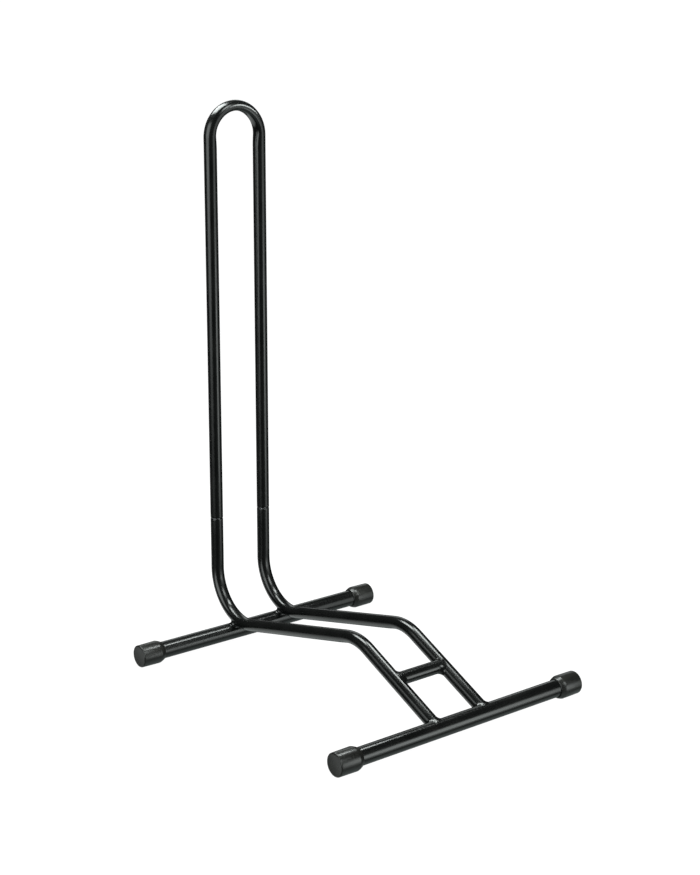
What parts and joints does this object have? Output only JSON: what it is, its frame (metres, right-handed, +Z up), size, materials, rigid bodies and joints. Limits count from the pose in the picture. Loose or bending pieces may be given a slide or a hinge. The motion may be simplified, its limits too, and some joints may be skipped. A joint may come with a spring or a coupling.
{
  "type": "bicycle floor stand",
  "caption": "Bent-tube bicycle floor stand: a tall hoop and parallel bent rails hold a wheel upright, on cross feet with rubber end caps.",
  "frame": {"origin": "on the floor, midway between the sides, the front and the back", "axes": "+Z up, +X to the right of someone who rolls a wheel in, +Y the way the wheel rolls in, towards the hoop"},
  "size_m": [0.375, 0.4626, 0.7],
  "materials": {
    "black_powder_coat": "satin to gloss",
    "coated_weld": "gloss over a rippled bead",
    "zinc_sleeve": "zinc plated",
    "cap_rubber": "matt"
  },
  "bodies": {
    "base": {"left_rail": "black_powder_coat", "right_rail": "black_powder_coat", "cross_brace": "black_powder_coat", "front_foot_tube": "black_powder_coat", "rear_foot_tube": "black_powder_coat", "left_spigot": "zinc_sleeve", "right_spigot": "zinc_sleeve", "weld_front_left": "coated_weld", "weld_front_right": "coated_weld", "weld_brace_left": "coated_weld", "weld_brace_right": "coated_weld", "weld_rear_left_outer": "coated_weld", "weld_rear_left_inner": "coated_weld", "weld_rear_right_inner": "coated_weld", "weld_rear_right_outer": "coated_weld", "cap_front_left": "cap_rubber", "cap_front_right": "cap_rubber", "cap_rear_left": "cap_rubber", "cap_rear_right": "cap_rubber"},
    "hoop": {"wheel_hoop": "black_powder_coat"}
  },
  "joints": [
    {"name": "hoop_lift", "type": "slide", "parent": "base", "child": "hoop", "axis": [0, 0, 1], "range_m": [0, 0.06]}
  ]
}
